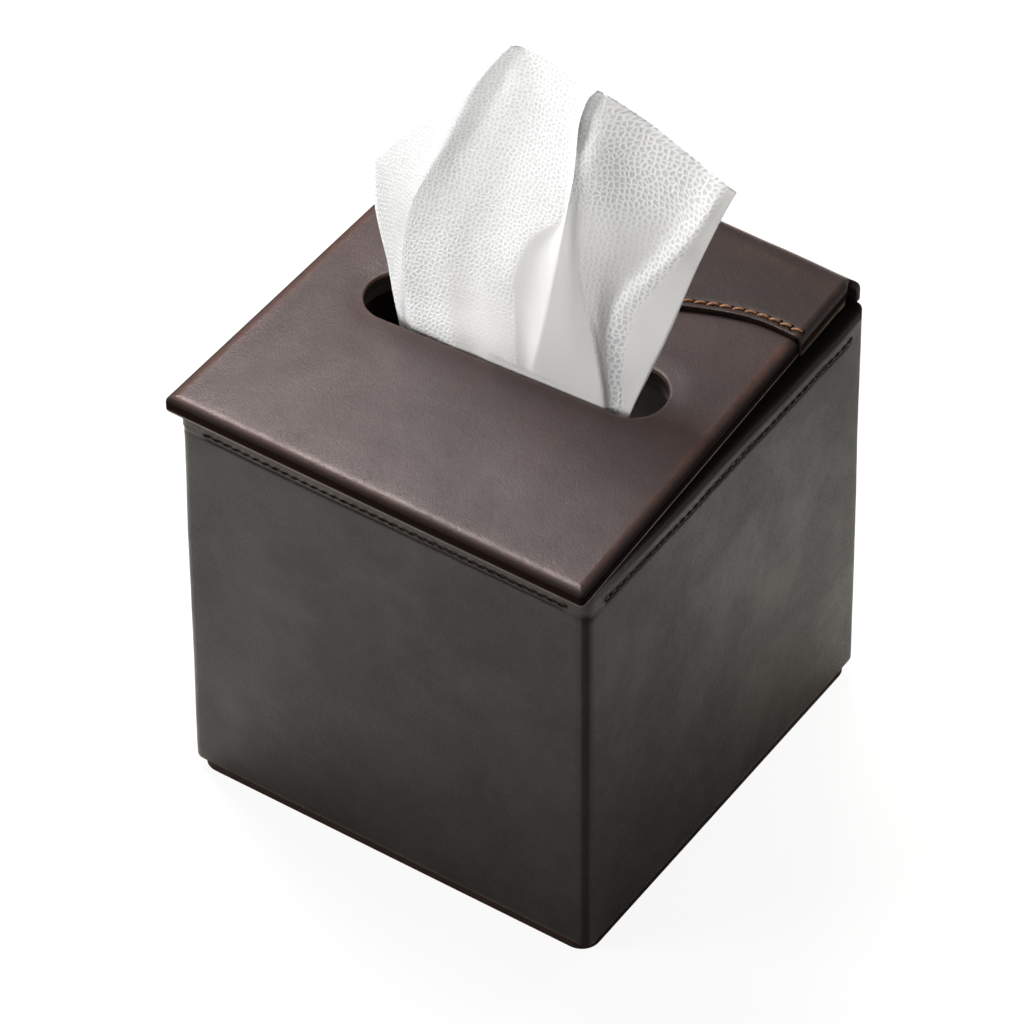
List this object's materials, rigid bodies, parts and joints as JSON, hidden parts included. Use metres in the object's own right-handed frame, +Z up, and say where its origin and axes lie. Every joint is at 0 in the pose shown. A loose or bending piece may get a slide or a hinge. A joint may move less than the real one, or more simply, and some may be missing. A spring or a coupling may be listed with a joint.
{
  "type": "tissue box",
  "caption": "Cube-shaped leather tissue box with a hinged, slotted lid, a lined board body and a tissue standing in the slot.",
  "frame": {"origin": "on the table under the centre of the box body, on the base pad's resting face", "axes": "+X to the right along the front face, +Y from the front face to the hinge at the back, +Z up"},
  "size_m": [0.1408, 0.1493, 0.2641],
  "materials": {
    "wall_leather": "dark brown waxed leather, satin",
    "lid_leather": "dark red-brown waxed leather, satin",
    "pad_leather": "raw-edged brown leather",
    "board": "dark dyed stiff board, matte",
    "lining": "dark brown suede-like lining",
    "tissue_paper": "soft white embossed tissue"
  },
  "bodies": {
    "box": {"base_pad": "pad_leather", "base_board": "board", "base_lining": "lining", "front_board": "board", "right_board": "board", "back_board": "board", "left_board": "board", "front_lining": "lining", "right_lining": "lining", "back_lining": "lining", "left_lining": "lining", "front_leather": "wall_leather", "right_leather": "wall_leather", "left_leather": "wall_leather", "back_leather": "wall_leather", "back_rim_facing": "wall_leather", "tissue_stack": "tissue_paper"},
    "lid": {"lid_leather": "lid_leather", "lid_board": "board", "lid_lining": "lining", "hinge_flap": "lid_leather", "tissue_sheet": "tissue_paper"}
  },
  "joints": [
    {"name": "lid_hinge", "type": "hinge", "parent": "box", "child": "lid", "pos_m": [0, 0.0693, 0.1575], "axis": [-1, 0, 0], "range_deg": [0, 110]}
  ]
}
